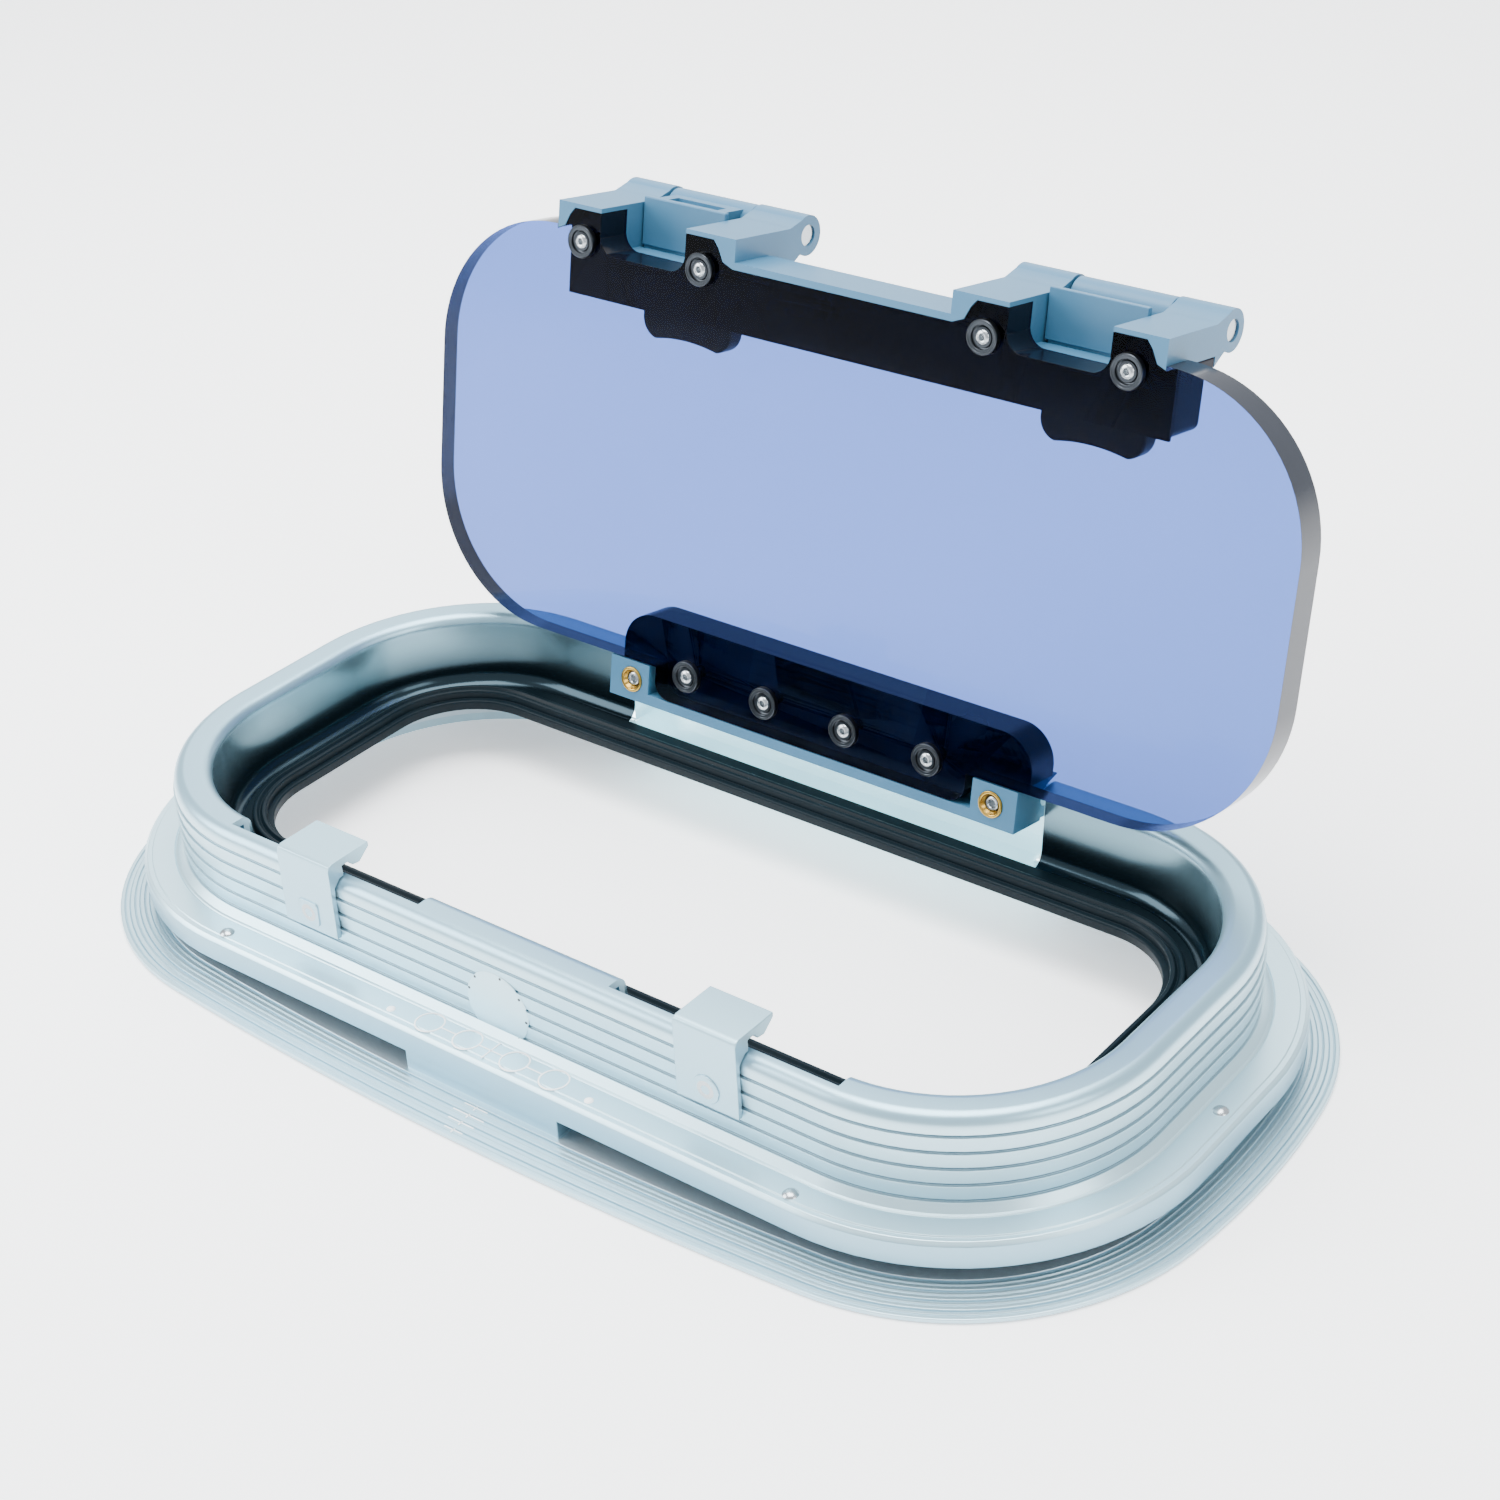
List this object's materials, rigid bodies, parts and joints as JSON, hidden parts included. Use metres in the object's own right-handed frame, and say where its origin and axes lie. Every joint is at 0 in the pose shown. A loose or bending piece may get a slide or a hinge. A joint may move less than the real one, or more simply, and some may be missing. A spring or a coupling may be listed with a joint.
{
  "type": "opening portlight",
  "caption": "Opening marine portlight: rounded rectangular flanged frame, hinged clear lens held open by a friction hinge, black lens seal and lift-up latch levers.",
  "frame": {"origin": "centre of the opening, on the underside of the flange", "axes": "+X along the opening's length, +Y from the latch side to the hinge side, +Z out of the flange towards the lens side"},
  "size_m": [0.407, 0.2475, 0.1994],
  "materials": {
    "frame_metal": "satin anodised",
    "strike_metal": "satin anodised",
    "blue_plastic": "satin moulded",
    "black_plastic": "gloss moulded",
    "lens_acrylic": "polished clear acrylic",
    "seal_rubber": "matt",
    "steel": "bright",
    "brass": "turned",
    "washer_dark": "satin"
  },
  "bodies": {
    "frame": {"frame": "frame_metal", "seal": "seal_rubber", "channel_gasket": "seal_rubber", "ring_plugs": "strike_metal", "strike_left": "strike_metal", "strike_right": "strike_metal", "strike_screws": "steel", "hinge_bracket": "strike_metal", "bracket_screws": "steel", "hinge_pin": "steel"},
    "lens_assembly": {"lens": "lens_acrylic", "hinge_leaf": "black_plastic", "hinge_carrier": "blue_plastic", "carrier_screws": "steel", "friction_inserts": "brass", "friction_screws": "steel", "leaf_washers": "washer_dark", "leaf_screws": "steel", "handle_gasket": "black_plastic", "handle_base": "black_plastic", "handle_housing": "blue_plastic", "handle_washers": "washer_dark", "handle_screws": "steel", "lever_pins": "steel"},
    "left_lever": {"lever_left": "blue_plastic", "lever_grip_left": "black_plastic"},
    "right_lever": {"lever_right": "blue_plastic", "lever_grip_right": "black_plastic"}
  },
  "joints": [
    {"name": "lens_hinge", "type": "hinge", "parent": "frame", "child": "lens_assembly", "pos_m": [0, 0.0762, 0.044], "axis": [1, 0, 0], "range_deg": [0, 100.87]},
    {"name": "lever_left_hinge", "type": "hinge", "parent": "lens_assembly", "child": "left_lever", "pos_m": [-0.0779, 0.12543, 0.18902], "axis": [1, 0, 0], "range_deg": [0, 90]},
    {"name": "lever_right_hinge", "type": "hinge", "parent": "lens_assembly", "child": "right_lever", "pos_m": [0.0779, 0.12543, 0.18902], "axis": [1, 0, 0], "range_deg": [0, 90]}
  ]
}
